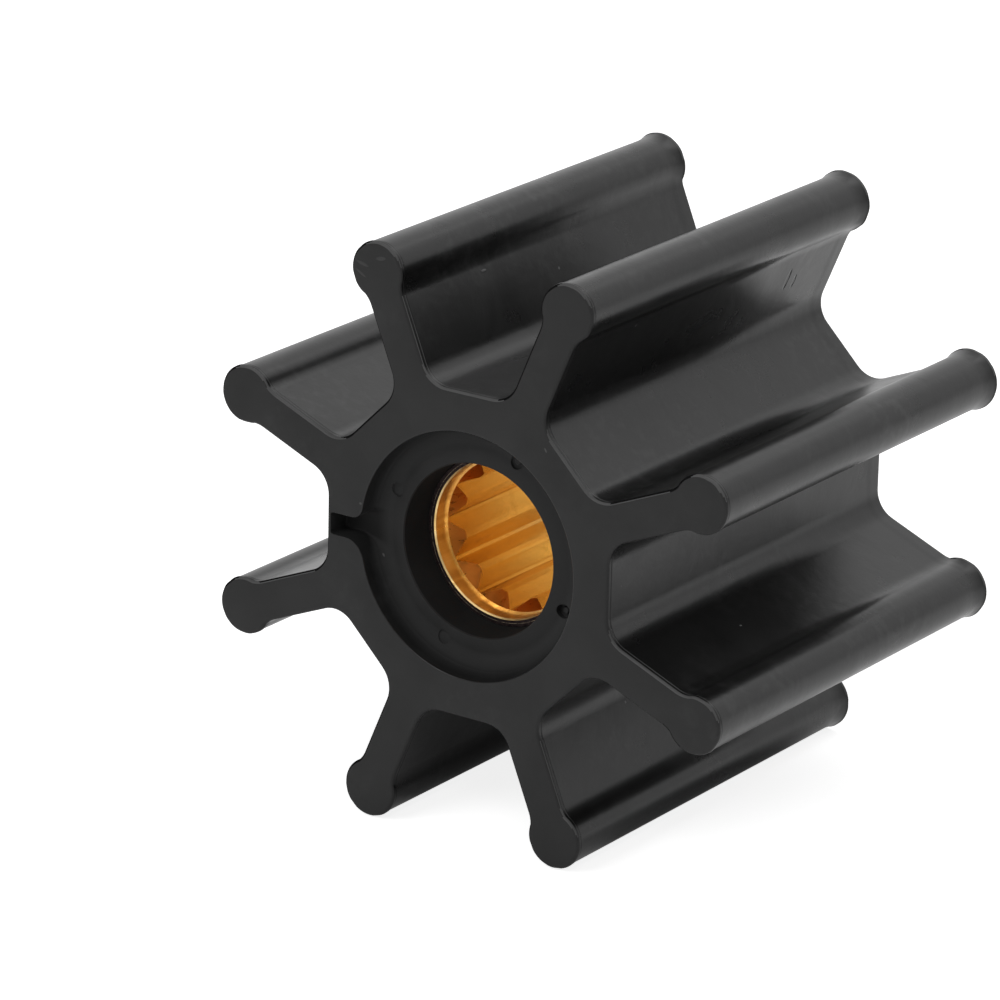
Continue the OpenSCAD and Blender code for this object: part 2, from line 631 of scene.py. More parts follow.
@dataclass(frozen=True)
class BrassFinish:
    """Cut brass with marks along the bore, stains, and turned rings drawn paler as a painted
    glint.
    """

    name: str
    colour: Place
    stain_colour: Place
    roughness: float
    stain: Pair
    """Noise values between which the stain sets in."""
    streak_stretch: Place = (1, 0.06, 1)
    streak_scale: float = 1600.0
    streak_height: float = 0.02 * MM
    veiled: Pair = (0.35, 0.75)
    """Noise values of the streaks between which their stain sets in."""
    veil: float = 0.35
    """Most of the stain that the streaks carry."""
    stain_scale: float = 420.0
    stain_height: float = 0.05 * MM
    glint_ring_radii: tuple[float, ...] = ()
    glint_ring_width: float = 0.07 * MM
    glint_ring_colour: Place = (0.75, 0.62, 0.45)
    glint_ring_gaps: Pair = (0.42, 0.58)
    """Noise values between which a ring is broken and whole."""
    mouth: Pair = (5.0 * MM, 16.0 * MM)
    """Distances from the middle along the bore between which the tarnish sets in."""
    tarnish: float = 1.3
    gloss_swing: Pair = (0.75, 1.3)
    """Factors on the roughness between which the streaks change it."""

    def material(self) -> bpy.types.Material:
        """Builds the node tree of the brass.

        Returns:
            The material.
        """
        bench = NodeBench(bpy.data.materials.new(self.name))
        streaks = bench.noise(self.streak_scale, 5, self.streak_stretch)
        blots = bench.noise(self.stain_scale, 5, distortion=0.6)
        share = bench.spread(blots, self.stain, (0.0, 1.0))
        veil = bench.spread(streaks, self.veiled, (0.0, self.veil))
        tarnish = bench.spread(bench.reach((0, 1, 0)), self.mouth, (0.0, self.tarnish))
        share = bench.reckon("MAXIMUM", share, bench.reckon("MULTIPLY", tarnish, streaks))
        skin = bench.blend(bench.reckon("MAXIMUM", share, veil),
                           (*self.colour, 1), (*self.stain_colour, 1))
        # Painted glint: a thin pale band along each turned ring, broken by the blots.
        for radius in self.glint_ring_radii:
            ring = bench.band(bench.reach((1, 0, 1)), radius, self.glint_ring_width)
            broken = bench.spread(blots, self.glint_ring_gaps, (0.1, 1.0))
            ring = bench.reckon("MULTIPLY", ring, broken)
            skin = bench.blend(ring, skin, (*self.glint_ring_colour, 1))
        smooth, coarse = self.gloss_swing
        rough = bench.spread(streaks, (0.3, 0.7), (
            self.roughness * smooth, self.roughness * coarse,
        ))
        relief = bench.bump(blots, 0.25, self.stain_height)
        bench.feed(
            Base_Color=skin, Metallic=1.0, Roughness=rough,
            Normal=bench.bump(streaks, 0.5, self.streak_height, relief),
        )
        return bench.owner


@dataclass(frozen=True)
class PinMark:
    """The mark that one support pin of the mould leaves in the recess."""

    angle: float
    """Direction from the bore, in degrees from +X towards +Z."""
    depth: float
    nub: float
    """Height of the nub in its middle."""
    radius: float = 0.75 * MM
    at: float = 10.92 * MM
    """Distance from the axis of the bore."""
    steps: int = 28
    foot: float = 0.08 * MM
    """Height of the bevel between its bottom and its wall."""

    def cutter(self, mesh: BMesh, floor_y: float) -> None:
        """Adds the closed tool that cuts the mark.

        Args:
            mesh: The mesh that takes the tool.
            floor_y: Place of the recess's floor along the bore, where the mark lies.
        """
        known = set(mesh.verts)

        def fresh() -> list[bmesh.types.BMVert]:
            """The tool's own vertices."""
            return [v for v in mesh.verts if v not in known]

        bottom = floor_y + self.depth
        chain = Chain(mesh, Vector((0, bottom - self.nub, 0)))
        for share, y in (
            (0.4, bottom - self.nub), (0.55, bottom), (0.9, bottom), (1.0, bottom - self.foot),
            (1.0, floor_y - self.radius), (0.0, floor_y - self.radius),
        ):
            chain.line_to(Vector((self.radius * share, y, 0)))
        edges = [e for e in mesh.edges if e.verts[0] not in known]
        spin_round(mesh, fresh() + edges, math.tau, self.steps)
        bmesh.ops.remove_doubles(mesh, verts=fresh(), dist=WELD)
        bmesh.ops.translate(mesh, verts=fresh(), vec=(self.at, 0, 0))
        bmesh.ops.rotate(mesh, verts=fresh(), cent=(0, 0, 0), matrix=turned(self.angle))


@dataclass
class VaneWheel:
    """The rubber moulding: hub, vanes with beads, end recesses, slot and pin marks."""

    length: float
    finishes: dict[Region, RubberFinish]
    outer_r: float = 32.5 * MM
    hub_flat: float = 16.95 * MM
    vanes: int = 8
    vane_t: float = 4.1 * MM
    bead_r: float = 2.95 * MM
    neck_r: float = 3.1 * MM
    root_r: float = 3.05 * MM
    front_lip: float = 0.1 * MM
    """Width of the moulding line round the front end of a bead."""
    front_lip_t: float = 0.5 * MM
    front_edge_r: float = 0.35 * MM
    crease_w: float = 0.2 * MM
    """Width of the groove behind the front moulding line."""
    crease: float = 0.05 * MM
    """Its depth."""
    crease_shape: tuple[Pair, ...] = ((0.3, 1), (0.6, 1), (1.0, 0), (1.8, 0))
    """Places in units of its width and shares of its depth there."""
    back_lip: float = 0.3 * MM
    """How far a bead flares out at its back end."""
    back_edge_r: float = 0.1 * MM
    flare: float = 2.4 * MM
    """Length of the flare along the bore."""
    flare_steps: int = 8
    flare_stop: float = 0.1 * MM
    """Distance behind the flare of the ring that ends it."""
    plain_lip: float = 0.03 * MM
    nick_scale: float = 900.0
    ragged: float = 0.09 * MM
    """Depth of the nicks in the edges of the moulding line."""
    recess_r: float = 12.85 * MM
    recess_lip: float = 2.1 * MM
    floor_slope: float = 18.0
    floor_r: float = 1.8 * MM
    floor_start: float = 2.5
    """Turn from the deepest ring to where the floor starts, in degrees."""
    foot_turns: tuple[float, ...] = (0, 9, 18, 27, 35, 38, 40, 44, 53, 62, 71, 80, 90)
    """Turns from the wall to the floor at which the foot has a ring, in degrees."""
    seam: float = 0.03 * MM
    """Height of the ridge along the foot."""
    seam_turns: Pair = (36, 42)
    bore_r: float = 9.0 * MM
    rim_r: float = 0.15 * MM
    slot_rim_r: float = 0.05 * MM
    slot_w: float = 2.3 * MM
    slot_skin: float = 0.4 * MM
    slot_end_r: float = 0.3 * MM
    slot_foot_r: float = 0.2 * MM
    slot_upper_r: float = 1.3 * MM
    slot_lower_r: float = 2.3 * MM
    pin_marks: tuple[PinMark, ...] = (
        PinMark(-22.5, 0.6 * MM, 0.25 * MM),
        PinMark(67.5, 0.16 * MM, 0.1 * MM),
        PinMark(157.5, 0.08 * MM, 0.03 * MM),
        PinMark(247.5, 0.08 * MM, 0.03 * MM),
    )
    edge_steps: int = 5
    rim_steps: int = 4
    """Edges in the rounds of the rims and in those of the slot's end."""
    floor_steps: int = 4
    foot_steps: int = 14
    arc_steps: int = 10
    bead_steps: int = 24
    turn_steps: int = 192
    stretches: int = 14
    smooth_below: float = 38.0
    """Angle up to which two faces are shaded as one, in degrees."""

    def __post_init__(self) -> None:
        """Works out the measures that the outline and the recess share."""
        self.half_pitch = 180 / self.vanes
        half = math.radians(self.half_pitch)
        slope = math.radians(self.floor_slope)
        self.bead_x = self.outer_r - self.bead_r
        self.neck_z = self.vane_t / 2 + self.neck_r
        self.neck_reach = math.sqrt((self.bead_r + self.neck_r) ** 2 - self.neck_z ** 2)
        self.root_z = self.vane_t / 2 + self.root_r
        self.root_x = (
            self.hub_flat + self.root_r - self.root_z * math.sin(half)) / math.cos(half)
        self.foot_at = self.recess_r - self.floor_r
        self.foot_mid = (self.recess_lip + (self.foot_at - self.bore_r) * math.tan(slope)
                         - self.floor_r / math.cos(slope))
        self.recess_depth = self.foot_mid + self.floor_r

    def build(self) -> bpy.types.Object:
        """Builds and dresses the moulding.

        Returns:
            The finished piece.
        """
        mesh = bmesh.new()
        front, back = self._outer_wall(mesh)
        rim, foot = self._front_recess(mesh)
        mouth, back_rim = self._bore(mesh)
        for edges in (front + rim, foot + mouth, back + back_rim):
            bmesh.ops.triangle_fill(mesh, edges=edges, use_beauty=True, use_dissolve=False)
        bmesh.ops.remove_doubles(mesh, verts=mesh.verts, dist=WELD / 2)
        RingWall.clear_notes(mesh)
        piece = fresh_piece("vane_wheel", mesh)
        self._sink_pin_marks(piece)
        shade_smooth(piece, self.smooth_below)
        dress(piece, self.finishes, self._region)
        return piece

    def _region(self, face: bpy.types.MeshPolygon) -> Region:
        """Finds the region of the moulding that a face belongs to.

        Args:
            face: The face.

        Returns:
            Its region.
        """
        normal = face.normal
        reach = math.hypot(face.center.x, face.center.z)
        looks_along, looks_front = abs(normal.y) > 0.99, normal.y < -0.3
        in_hub = reach < self.hub_flat - self.slot_skin / 2
        in_bore = reach < self.bore_r + 0.3 * self.rim_r
        below_face = abs(face.center.y) < self.length / 2 - self.rim_r
        if in_bore:
            return Region.BORE
        if in_hub and below_face:
            return Region.RECESS
        if looks_along:
            return Region.FACE
        # The rounded front edge takes a painted shade or a painted highlight by the way it looks.
        if looks_front and reach > self.hub_flat - self.front_edge_r:
            return self._painted_light_edge_region(normal)
        return Region.SIDE

    @staticmethod
    def _painted_light_edge_region(normal: Vector) -> Region:
        """Sorts the rounded front edge into a painted shade where it looks left and a painted
        highlight where it looks up.

        Args:
            normal: The way a face of it looks.

        Returns:
            The face's region.
        """
        looks_left, looks_up = normal.x < -0.2, normal.z > 0.3
        if looks_left:
            return Region.SHADE_PAINTED_EDGE
        return Region.HIGHLIGHT_PAINTED_EDGE if looks_up else Region.FACE

    def _outline(self, mesh: BMesh) -> Edges:
        """Lays the wheel's outline round the bore, from one half of one vane.

        Args:
            mesh: The empty mesh.

        Returns:
            The outline's edges.
        """
        half = math.radians(self.half_pitch)
        neck_x = self.bead_x - self.neck_reach
        meet = math.degrees(math.atan2(self.neck_z, self.neck_reach))
        chain = Chain(mesh, Vector((math.cos(half), 0, math.sin(half))) * self.hub_flat)
        chain.line_to(Vector((
            self.root_x - self.root_r * math.cos(half), 0,
            self.root_z - self.root_r * math.sin(half),
        )))
        chain.arc(Vector((self.root_x, 0, self.root_z)), 90 - self.half_pitch, self.arc_steps)
        chain.line_to(Vector((neck_x, 0, self.vane_t / 2)))
        chain.arc(Vector((neck_x, 0, self.neck_z)), 90 - meet, self.arc_steps)
        chain.arc(Vector((self.bead_x, 0, 0)), meet - 180, self.bead_steps)
        bmesh.ops.mirror(
            mesh, geom=mesh.verts[:] + mesh.edges[:], matrix=Matrix.Identity(4),
            merge_dist=WELD, axis="Z",
        )
        bmesh.ops.rotate(mesh, verts=mesh.verts, cent=(0, 0, 0), matrix=turned(self.half_pitch))
        spin_round(mesh, mesh.verts[:] + mesh.edges[:], 2 * half * (self.vanes - 1),
                   self.vanes - 1, copies=True)
        bmesh.ops.remove_doubles(mesh, verts=mesh.verts, dist=WELD)
        return mesh.edges[:]

    def _off_bead(self, point: Vector) -> float:
        """Measures how far a place lies from the nearest bead's round, with nicks.

        Args:
            point: A place on the outline.

        Returns:
            The distance, which is below zero inside the bead.
        """
        pitch = 2 * self.half_pitch
        turn = math.degrees(math.atan2(point.z, point.x)) - self.half_pitch
        turn = math.radians(turn - pitch * round(turn / pitch))
        reach = math.hypot(point.x, point.z)
        along, across = reach * math.cos(turn), reach * math.sin(turn)
        nick = max(noise.noise(point * self.nick_scale), 0.0) * self.ragged
        return math.hypot(along - self.bead_x, across) - self.bead_r + nick

    def _outer_wall(self, mesh: BMesh) -> tuple[Edges, Edges]:
        """Builds the outside of the wheel with the moulding line at both ends.

        Args:
            mesh: The empty mesh.

        Returns:
            The boundary edges of the front end and of the back end.
        """
        wall = RingWall(mesh, self._outline(mesh), self._off_bead)
        front = self._end_sections(End.FRONT)
        back = self._end_sections(End.BACK)
        flat = self.length / 2 - self.flare - 2 * self.flare_stop
        middle = [
            self._ring(flat * (2 * i / self.stretches - 1), 0.0, 0.0)
            for i in range(1, self.stretches)
        ]
        first = wall.edges
        wall.place(front[0])
        for section in front[1:] + middle + back[::-1]:
            wall.grow(section)
        return first, wall.edges

    def _ring(self, y: float, inset: float, lip: float) -> Section:
        """Makes the section of one ring of the outer wall.

        Args:
            y: The ring's place along the bore.
            inset: How far the whole ring lies outside the outline.
            lip: Width of the moulding line round a bead, or 0 for none.

        Returns:
            The section, for a vertex's distance from the nearest bead.
        """
        plain = min(self.plain_lip, lip)
        return lambda off_bead: (y, inset + max(plain, lip - max(off_bead, 0.0)))

    def _end_sections(self, end: End) -> list[Section]:
        """Makes the sections of one end.

        Args:
            end: The end.

        Returns:
            The sections, from its face inwards.
        """
        front = end is End.FRONT
        lip = self.front_lip if front else self.back_lip
        edge_r = self.front_edge_r if front else self.back_edge_r
        steps = [(0.0, -edge_r, lip)]
        for rise, run in quarter_turns(self.edge_steps):
            steps.append((edge_r * run, -edge_r * (1 - rise), lip))
        if front:
            edge, width = self.front_lip_t, self.crease_w
            steps += [(edge, 0.0, lip)]
            steps += [
                (edge + width * share, -self.crease * sunk, 0.0)
                for share, sunk in self.crease_shape
            ]
        else:
            for i in range(1, self.flare_steps + 1):
                share = i / self.flare_steps
                steps.append((self.flare * share, 0.0, lip * (1 - share) ** 2))
            steps.append((self.flare + self.flare_stop, 0.0, 0.0))
        return [
            self._ring(end.value * (self.length / 2 - depth), inset, width)
            for depth, inset, width in steps
        ]

    def _half_rim(self, mesh: BMesh, sign: int, corner_r: float) -> None:
        """Lays the upper or lower half of the front recess's rim with its side of the slot.

        Args:
            mesh: The mesh that takes the edges.
            sign: 1 for the upper half, -1 for the lower one.
            corner_r: Radius of the corner between slot and recess.
        """
        reach = self.hub_flat - self.slot_skin
        half_w = self.slot_w / 2
        end_r = self.slot_end_r
        corner_z = half_w + corner_r
        corner_x = math.sqrt((self.recess_r + corner_r) ** 2 - corner_z ** 2)
        lean = math.degrees(math.atan2(corner_z, corner_x))
        chain = Chain(mesh, Vector((-reach, 0, 0)))
        chain.line_to(Vector((-reach, 0, sign * (half_w - end_r))))
        chain.arc(Vector((end_r - reach, 0, sign * (half_w - end_r))), -sign * 90,
                  self.rim_steps)
        chain.line_to(Vector((-corner_x, 0, sign * half_w)))
        chain.arc(Vector((-corner_x, 0, sign * corner_z)), sign * (90 - lean), self.arc_steps)
        chain.arc(Vector((0, 0, 0)), -sign * (180 - lean), self.turn_steps // 2)

    def _in_recess(self, point: Vector) -> float:
        """Finds how much of the recess's wide foot is left beside the slot's narrow one.

        Args:
            point: A place on the rim.

        Returns:
            The share of the wide foot.
        """
        if point.x > 0:
            return 1.0
        corner_r = self.slot_upper_r if point.z > 0 else self.slot_lower_r
        corner_z = self.slot_w / 2 + corner_r
        start = corner_z * self.recess_r / (self.recess_r + corner_r)
        return smooth_share(abs(point.z), self.slot_w / 2, start)

    def _front_recess(self, mesh: BMesh) -> tuple[Edges, Edges]:
        """Builds the wall of the front recess and its slot, down to the floor.

        Args:
            mesh: The mesh that takes the wall.

        Returns:
            The boundary edges at the rim and at the foot.
        """
        self._half_rim(mesh, 1, self.slot_upper_r)
        self._half_rim(mesh, -1, self.slot_lower_r)
        loose = [v for v in mesh.verts if not v.link_faces]
        bmesh.ops.remove_doubles(mesh, verts=loose, dist=WELD)
        outline = [e for e in mesh.edges if not e.link_faces]
        wall = RingWall(mesh, outline, self._in_recess)
        rim = wall.edges
        wall.place(self._rim_ring(0.0, 0.0))
        for rise, run in quarter_turns(self.rim_steps):
            wall.grow(self._rim_ring(rise, run))
        for degrees in self.foot_turns:
            wall.grow(self._foot_ring(degrees))
        return rim, wall.edges

    def _rim_ring(self, rise: float, run: float) -> Section:
        """Makes the section of one ring of the rounded rim of the front recess.

        Args:
            rise: Sine of the turn from the face towards the wall.
            run: One minus its cosine.

        Returns:
            The section, for a vertex's share of the wide rim.
        """
        def section(share: float) -> Pair:
            """Place along the bore and outset of a vertex."""
            rim_r = self.slot_rim_r + (self.rim_r - self.slot_rim_r) * share
            return rim_r * run - self.length / 2, rim_r * (1 - rise)

        return section

    def _foot_ring(self, degrees: float) -> Section:
        """Makes the section of one ring of the rounded foot of the front recess.

        Args:
            degrees: Turn from the wall towards the floor.

        Returns:
            The section, for a vertex's share of the wide foot.
        """
        turn = math.radians(degrees)
        low, high = self.seam_turns
        raised = self.seam if low < degrees < high else 0.0

        def section(share: float) -> Pair:
            """Place along the bore and outset of a vertex."""
            foot_r = self.slot_foot_r + (self.floor_r - self.slot_foot_r) * share
            return (self.recess_depth - foot_r * (1 - math.sin(turn)) - self.length / 2,
                    -foot_r * (1 - math.cos(turn)) - raised * share)

        return section

    def _bore(self, mesh: BMesh) -> tuple[Edges, Edges]:
        """Turns the front floor, the bore and the whole back recess round the axis.

        Args:
            mesh: The mesh that takes the turned faces.

        Returns:
            The boundary edges at the foot of the front recess and at the back rim.
        """
        half = self.length / 2
        slope = math.radians(self.floor_slope)
        start = math.radians(self.floor_start)
        across = Vector((0, 0, 1))
        known = set(mesh.edges)
        lip_x = self.bore_r + self.rim_r * math.tan(math.radians((90 - self.floor_slope) / 2))
        lip_y = self.recess_lip + (lip_x - self.bore_r) * math.tan(slope) - half
        foot = Vector((self.foot_at, self.foot_mid - half, 0))
        chain = Chain(mesh, foot + self.floor_r * Vector((-math.sin(start), math.cos(start), 0)))
        chain.arc(foot, self.floor_slope - self.floor_start, self.floor_steps, across)
        for x, y in (
            (lip_x, lip_y), (self.bore_r, lip_y + self.rim_r),
            (self.bore_r, -lip_y - self.rim_r), (lip_x, -lip_y),
            (self.foot_at - self.floor_r * math.sin(slope),
             half - self.foot_mid - self.floor_r * math.cos(slope)),
        ):
            chain.line_to(Vector((x, y, 0)))
        chain.arc(Vector((self.foot_at, half - self.foot_mid, 0)), 90 + self.floor_slope,
                  self.foot_steps, across)
        for x, y in ((0.0, 1.0), (0.3, 0.3), (1.0, 0.0)):
            chain.line_to(Vector((self.recess_r + self.rim_r * x, half - self.rim_r * y, 0)))
        profile = [g for group in (mesh.verts, mesh.edges) for g in group if not g.link_faces]
        spin_round(mesh, profile, math.tau, self.turn_steps)
        fresh = [e for e in mesh.edges if e not in known and e.is_boundary]
        mouth = [e for e in fresh if e.verts[0].co.y < 0 and e.verts[1].co.y < 0]
        rim = [e for e in fresh if e.verts[0].co.y > 0 and e.verts[1].co.y > 0]
        return mouth, rim

    def _sink_pin_marks(self, piece: bpy.types.Object) -> None:
        """Cuts the marks of the mould's pins into the floor of the front recess.

        Args:
            piece: The moulding.
        """
        slope = math.tan(math.radians(self.floor_slope))
        mesh = bmesh.new()
        for mark in self.pin_marks:
            floor_y = self.recess_lip + (mark.at - self.bore_r) * slope - self.length / 2
            mark.cutter(mesh, floor_y)
        cut_away(piece, mesh)


@dataclass
class SplineBush:
    """The brass bush: chamfered rims, plain bores and a cut spline with conical leads."""

    length: float
    outer_r: float
    finishes: dict[Cut, BrassFinish]
    outer_chamfer: float = 0.08 * MM
    rim_chamfer: float = 0.14 * MM
    pilot_r: float = 8.15 * MM
    pilot_len: float = 1.9 * MM
    root_r: float = 7.93 * MM
    tip_r: float = 6.9 * MM
    teeth: int = 12
    root_land: float = 0.35 * MM
    tooth_top: float = 0.7 * MM
    lead: float = 1.45 * MM
    flank_overrun: float = 0.28 * MM
    edge_w: float = 0.025 * MM
    smooth_below: float = 18.0
    """Angle up to which two faces are shaded as one and keep their edge, in degrees."""
    turn_steps: int = 192

    def build(self) -> bpy.types.Object:
        """Builds and dresses the bush.

        Returns:
            The finished piece.
        """
        piece = fresh_piece("spline_bush", self._turned_blank())
        cut_away(piece, self._grooves())
        shade_smooth(piece, self.smooth_below)
        edges = piece.modifiers.new("edges", "BEVEL")
        edges.width = self.edge_w
        edges.segments = 2
        edges.limit_method = "ANGLE"
        edges.angle_limit = math.radians(self.smooth_below)
        edges.harden_normals = True
        settle_modifiers(piece)
        dress(piece, self.finishes, self._cut)
        return piece

    def _cut(self, face: bpy.types.MeshPolygon) -> Cut:
        """Finds the cut that a face of the bush belongs to.

        Args:
            face: The face.

        Returns:
            Its cut.
        """
        reach = math.hypot(face.center.x, face.center.z)
        looks_along = abs(face.normal.y) > 0.45
        if reach > self.pilot_r + self.rim_chamfer:
            return Cut.END
        if reach > self.pilot_r:
            return Cut.RIM
        if reach > self.root_r + self.edge_w:
            return Cut.PILOT
        return Cut.LEAD if looks_along else Cut.BORE

    def _turned_blank(self) -> BMesh:
        """Turns the bush's section round the bore.

        Returns:
            The closed mesh, without its grooves.
        """
        mesh = bmesh.new()
        end = self.length / 2
        half_section = (
            (self.outer_r, end - self.outer_chamfer),
            (self.outer_r - self.outer_chamfer, end),
            (self.pilot_r + self.rim_chamfer, end),
            (self.pilot_r, end - self.rim_chamfer),
            (self.pilot_r, end - self.pilot_len),
            (self.root_r, end - self.pilot_len),
            (self.tip_r, end - self.pilot_len - self.lead),
        )
        chain = Chain(mesh, Vector((*half_section[0], 0)))
        for radius, y in half_section[1:]:
            chain.line_to(Vector((radius, y, 0)))
        for radius, y in reversed(half_section):
            chain.line_to(Vector((radius, -y, 0)))
        chain.line_to(Vector((*half_section[0], 0)))
        spin_round(mesh, mesh.verts[:] + mesh.edges[:], math.tau, self.turn_steps)
        bmesh.ops.remove_doubles(mesh, verts=mesh.verts, dist=WELD)
        return mesh

    def _grooves(self) -> BMesh:
        """Builds the wedges that the grooves of the spline take away.

        Returns:
            The closed wedges, one for each groove.
        """
        mesh = bmesh.new()
        half_tooth = math.pi / self.teeth - math.asin(self.tooth_top / 2 / self.tip_r)
        tip = Vector((self.tip_r * math.cos(half_tooth), 0, self.tip_r * math.sin(half_tooth)))
        root = Vector((self.root_r, 0, self.root_land / 2))
        inner = tip + (tip - root).normalized() * self.flank_overrun
        reach = self.length / 2 - self.pilot_len + self.flank_overrun
        chain = Chain(mesh, inner)
        for x, z in ((root.x, root.z), (root.x, -root.z), (inner.x, -inner.z),
                     (inner.x, inner.z)):
            chain.line_to(Vector((x, 0, z)))
        bmesh.ops.remove_doubles(mesh, verts=mesh.verts, dist=WELD)
        bmesh.ops.translate(mesh, verts=mesh.verts, vec=(0, -reach, 0))
        bmesh.ops.contextual_create(mesh, geom=mesh.edges[:])
        grown = bmesh.ops.extrude_face_region(mesh, geom=mesh.faces[:], use_keep_orig=True)
        moved = [g for g in grown["geom"] if isinstance(g, bmesh.types.BMVert)]
        bmesh.ops.translate(mesh, verts=moved, vec=(0, 2 * reach, 0))
        spin_round(mesh, mesh.verts[:] + mesh.edges[:] + mesh.faces[:],
                   math.tau * (self.teeth - 1) / self.teeth, self.teeth - 1, copies=True)
        return mesh


@dataclass(frozen=True)
class Lamp:
    """One soft square lamp that faces the impeller."""

    name: str
    at: Place
    size: float
    watts: float

    def hang(self) -> None:
        """Adds the lamp to the scene."""
        data = bpy.data.lights.new(self.name, "AREA")
        data.size = self.size
        data.energy = self.watts
        lamp = new_object(self.name, data)
        lamp.location = self.at
        lamp.rotation_euler = (-Vector(self.at)).to_track_quat("-Z", "Y").to_euler()


@dataclass
class Studio:
    """White sweep, soft lamps and the camera."""

    floor_z: float
    lamps: tuple[Lamp, ...] = (
        Lamp("top_box", (0.25, 0.35, 1.0), 0.9, 3.5),
        Lamp("front_box", (-0.3, -1.0, 0.8), 0.7, 4.5),
        Lamp("rim_box", (0.58, -0.79, 0.85), 0.25, 0.8),
    )
    floor_tone: float = 0.8
    floor_glow: float = 0.84
    """Light that the sweep gives the camera, over what the lamps make it show."""
    floor_gloss: Pair = (0.07, 0.68)
    """Light that mirrored rays get from the floor, under the impeller and round it."""
    back_gloss: float = 0.88
    """Light that mirrored rays get from the backdrop."""
    shade: Pair = (0.0205, 0.034)
    # Distances from the middle of the impeller between which the floor's gloss grows: a painted
    # shadow under the impeller that only mirrored rays see.
    """Distances from the middle of the impeller between which the floor's gloss grows."""
    room_light: float = 0.2
    room_tone: float = 0.8
    """Tone of the room in mirrored rays."""
    room_gloss: Pair = (0.45, 0.84)
    """Light that mirrored rays get from the front and from the back of the room."""
    room_span: Pair = (-0.2, 0.4)
    """Directions along the bore between which it changes from one to the other."""
    camera_at: Place = (0.318537, -0.480086, 0.198105)
    camera_azimuth: float = 34.656
    camera_elevation: float = 19.077
    camera_roll: float = 1.253
    lens: float = 215.07
    sensor: float = 36.0
    wall_r: float = 0.4
    """Radius in which the floor turns up into the backdrop."""
    half_w: float = 2.0
    half_d: float = 1.2
    """Distance from the impeller at which the floor starts and turns up."""
    top_z: float = 2.0

    def build(self) -> None:
        """Sets up floor, lamps, world and camera."""
        self._floor()
        for lamp in self.lamps:
            lamp.hang()
        self._world()
        self._camera()

    def _floor(self) -> None:
        """Lays the sweep that the impeller lies on."""
        mesh = bmesh.new()
        left = -self.half_w
        chain = Chain(mesh, Vector((left, -self.half_d, self.floor_z)))
        chain.line_to(Vector((left, self.half_d, self.floor_z)))
        middle = Vector((left, self.half_d, self.floor_z + self.wall_r))
        chain.arc(middle, 90, 16, Vector((1, 0, 0)))
        chain.line_to(Vector((left, self.half_d + self.wall_r, self.top_z)))
        made = bmesh.ops.extrude_edge_only(mesh, edges=mesh.edges[:])["geom"]
        moved = [g for g in made if isinstance(g, bmesh.types.BMVert)]
        bmesh.ops.translate(mesh, verts=moved, vec=(2 * self.half_w, 0, 0))
        floor = fresh_piece("sweep", mesh)
        floor.data.shade_smooth()
        floor.data.materials.append(self._sweep_material())

    def _sweep_material(self) -> bpy.types.Material:
        """Paper-white surface that keeps a faint shadow.

        Returns:
            The material.
        """
        bench = NodeBench(bpy.data.materials.new("sweep_white"))
        bench.feed(Base_Color=grey(self.floor_tone), Roughness=0.9, Specular_IOR_Level=0.1)
        path = bench.add("ShaderNodeLightPath", {})
        height = bench.add("ShaderNodeSeparateXYZ", {"Vector": bench.place}).outputs["Z"]
        back = bench.spread(height, (self.floor_z, self.floor_z + self.wall_r),
                            (0, self.back_gloss))
        # Painted shadow: mirrored rays get less light from the floor near the impeller.
        near = bench.spread(bench.reach((1, 1, 0)), self.shade, self.floor_gloss)
        mirrored = bench.reckon("MULTIPLY", path.outputs["Is Glossy Ray"],
                                bench.reckon("MAXIMUM", back, near))
        seen = bench.reckon("MULTIPLY", path.outputs["Is Camera Ray"], self.floor_glow)
        glow = bench.add("ShaderNodeEmission", {
            "Strength": bench.reckon("ADD", mirrored, seen),
        })
        both = bench.add("ShaderNodeAddShader", {
            0: bench.shader.outputs["BSDF"], 1: glow.outputs["Emission"],
        })
        bench.show(both, "Material Output")
        return bench.owner

    def _world(self) -> None:
        """Gives the room round the sweep its dim light."""
        world = bpy.data.worlds.new("room")
        bpy.context.scene.world = world
        bench = NodeBench(world, "Generated")
        path = bench.add("ShaderNodeLightPath", {})
        along = bench.add("ShaderNodeSeparateXYZ", {"Vector": bench.place}).outputs["Y"]
        gloss = bench.spread(along, self.room_span, self.room_gloss)
        shown = bench.tree.nodes["Background"]
        bench.fill(shown.inputs["Color"], grey(1.0))
        bench.fill(shown.inputs["Strength"], self.room_light)
        for ray, tone, strength in (
            ("Is Glossy Ray", self.room_tone, gloss), ("Is Camera Ray", 1.0, 1.0),
        ):
            light = bench.add("ShaderNodeBackground", {
                "Color": grey(tone), "Strength": strength,
            })
            shown = bench.add("ShaderNodeMixShader", {
                "Fac": path.outputs[ray], 1: shown.outputs[0], 2: light.outputs[0],
            })
        bench.show(shown, "World Output")

    def _camera(self) -> None:
        """Places the camera as it stood for the photograph."""
        azimuth = math.radians(self.camera_azimuth)
        down = math.radians(self.camera_elevation)
        forward = Vector((
            -math.sin(azimuth) * math.cos(down),
            math.cos(azimuth) * math.cos(down),
            -math.sin(down),
        ))
        right = forward.cross(Vector((0, 0, 1))).normalized()
        right = Matrix.Rotation(-math.radians(self.camera_roll), 3, forward) @ right
        up = right.cross(forward)
        data = bpy.data.cameras.new("camera")
        data.lens = self.lens
        data.sensor_width = self.sensor
        data.clip_start = 0.01
        camera = new_object("camera", data)
        camera.matrix_world = Matrix.Translation(self.camera_at) @ Matrix(
            (right, up, -forward)).transposed().to_4x4()
        bpy.context.scene.camera = camera


